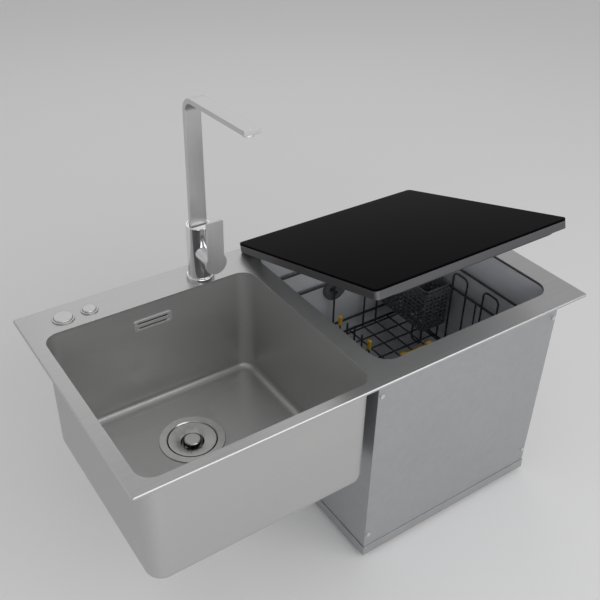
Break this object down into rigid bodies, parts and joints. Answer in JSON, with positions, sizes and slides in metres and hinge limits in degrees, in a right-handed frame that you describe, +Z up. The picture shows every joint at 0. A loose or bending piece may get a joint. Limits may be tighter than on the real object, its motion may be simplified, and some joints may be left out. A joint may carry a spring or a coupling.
{
  "type": "sink dishwasher",
  "caption": "Worktop unit that joins a steel sink bowl with a tap and a top-opening dishwasher with a lifting glass lid, wire rack and spray arm.",
  "frame": {"origin": "under the middle of the top plate, at the level that the feet stand on", "axes": "+X along the plate from the sink bowl to the dishwasher, -Y towards the user, +Z up"},
  "size_m": [0.85, 0.45, 0.767],
  "materials": {
    "brushed_plate": "brushed along the length",
    "bowl_steel": "fine brushed",
    "drain_steel": "bright satin",
    "bright_chrome": "polished",
    "satin_steel": "satin",
    "black_glass": "gloss black, opaque",
    "lid_metal": "brushed dark grey",
    "tub_steel": "smooth",
    "casing_steel": "plain galvanised",
    "seal_rubber": "matt",
    "black_plastic": "fine textured",
    "grey_plastic": "fine textured",
    "white_plastic": "smooth",
    "yellow_plastic": "smooth",
    "rack_wire": "dark plastic coat",
    "brass": "turned"
  },
  "bodies": {
    "base": {"top_plate": "brushed_plate", "sink_bowl": "bowl_steel", "overflow_cover": "bright_chrome", "overflow_pipe": "black_plastic", "drain_flange": "drain_steel", "drain_body": "black_plastic", "tail_pipe": "white_plastic", "button_bushes": "brushed_plate", "drain_cable": "black_plastic", "tap_base_ring": "bright_chrome", "tap_body": "bright_chrome", "tap_shank": "brass", "tap_nut": "brass", "tap_cartridge": "white_plastic", "hinge_brackets": "satin_steel", "tub": "tub_steel", "tub_seal": "seal_rubber", "base_pan": "casing_steel", "feet": "seal_rubber", "side_panels": "casing_steel", "service_cover": "casing_steel", "cover_screws": "satin_steel", "back_panel": "casing_steel", "cable_gland": "black_plastic", "sump": "grey_plastic", "filter_plate": "tub_steel", "pump_housing": "grey_plastic", "pump_motor": "black_plastic", "drain_pump": "black_plastic", "drain_pipe": "white_plastic", "inlet_valve": "white_plastic", "flow_heater": "tub_steel", "control_box": "white_plastic", "vent_cap": "grey_plastic"},
    "drain_button": {"drain_button": "satin_steel"},
    "drain_lifter": {"drain_lifter": "black_plastic"},
    "strainer": {"strainer_basket": "drain_steel"},
    "air_button": {"air_button": "satin_steel"},
    "spindle": {"cartridge_spindle": "satin_steel"},
    "lever": {"tap_lever": "satin_steel"},
    "spout": {"spout_collar": "bright_chrome", "tap_spout": "satin_steel", "tap_aerator": "bright_chrome"},
    "lid": {"lid_frame": "lid_metal", "lid_glass": "black_glass", "lid_inner_pan": "tub_steel", "lid_seal": "seal_rubber", "hinge_pins": "satin_steel"},
    "spray_arm": {"spray_arm": "grey_plastic"},
    "pump_impeller": {"pump_impeller": "white_plastic"},
    "drain_impeller": {"drain_impeller": "white_plastic"},
    "filter": {"filter_cup": "grey_plastic"},
    "rack": {"rack_floor": "rack_wire", "rack_side_panels": "rack_wire", "rack_end_panels": "rack_wire"},
    "left_tines": {"left_tines": "rack_wire", "tine_caps": "yellow_plastic"},
    "front_tines": {"front_tines": "rack_wire", "tine_handle": "yellow_plastic"},
    "basket": {"cutlery_basket": "black_plastic"}
  },
  "joints": [
    {"name": "lid_hinge", "type": "hinge", "parent": "base", "child": "lid", "pos_m": [0.193, 0.21, 0.44], "axis": [-1, 0, 0], "range_deg": [-16.5, 57]},
    {"name": "spout_turn", "type": "hinge", "parent": "base", "child": "spout", "pos_m": [-0.109, 0.178, 0.5], "axis": [0, 0, 1], "range_deg": [-120, 25]},
    {"name": "lever_turn", "type": "hinge", "parent": "base", "child": "spindle", "pos_m": [-0.109, 0.141, 0.487], "axis": [0, -1, 0], "range_deg": [-45, 45]},
    {"name": "lever_tilt", "type": "hinge", "parent": "spindle", "child": "lever", "pos_m": [-0.109, 0.141, 0.487], "axis": [1, 0, 0], "range_deg": [0, 14]},
    {"name": "drain_button_push", "type": "slide", "parent": "base", "child": "drain_button", "axis": [0, 0, -1], "range_m": [0, 0.004]},
    {"name": "drain_lift", "type": "slide", "parent": "base", "child": "drain_lifter", "axis": [0, 0, 1], "range_m": [0, 0.008]},
    {"name": "strainer_lift", "type": "slide", "parent": "drain_lifter", "child": "strainer", "axis": [0, 0, 1], "range_m": [0, 0.12]},
    {"name": "air_button_push", "type": "slide", "parent": "base", "child": "air_button", "axis": [0, 0, -1], "range_m": [0, 0.0025], "stiffness_N_per_m": 300, "springref_m": -0.002},
    {"name": "spray_arm_spin", "type": "hinge", "parent": "base", "child": "spray_arm", "pos_m": [0.193, 0.001, 0.155], "axis": [0, 0, 1], "continuous": true},
    {"name": "pump_spin", "type": "hinge", "parent": "base", "child": "pump_impeller", "pos_m": [0.193, 0.001, 0.1], "axis": [0, 0, 1], "continuous": true},
    {"name": "drain_pump_spin", "type": "hinge", "parent": "base", "child": "drain_impeller", "pos_m": [0.345, -0.084, 0.095], "axis": [1, 0, 0], "continuous": true},
    {"name": "filter_turn", "type": "hinge", "parent": "base", "child": "filter", "pos_m": [0.278, -0.084, 0.13], "axis": [0, 0, 1], "range_deg": [0, 90]},
    {"name": "rack_lift", "type": "slide", "parent": "base", "child": "rack", "axis": [0, 0, 1], "range_m": [0, 0.05]},
    {"name": "basket_lift", "type": "slide", "parent": "rack", "child": "basket", "axis": [0, 0, 1], "range_m": [0, 0.025]},
    {"name": "left_tines_fold", "type": "hinge", "parent": "rack", "child": "left_tines", "pos_m": [0.15, 0.0605, 0.18655], "axis": [0, -1, 0], "range_deg": [0, 80]},
    {"name": "front_tines_fold", "type": "hinge", "parent": "rack", "child": "front_tines", "pos_m": [0.203, -0.056, 0.19015], "axis": [1, 0, 0], "range_deg": [0, 75]}
  ],
  "couplings": [
    {"joint": "drain_lift", "follows": "drain_button_push", "ratio": 2}
  ]
}
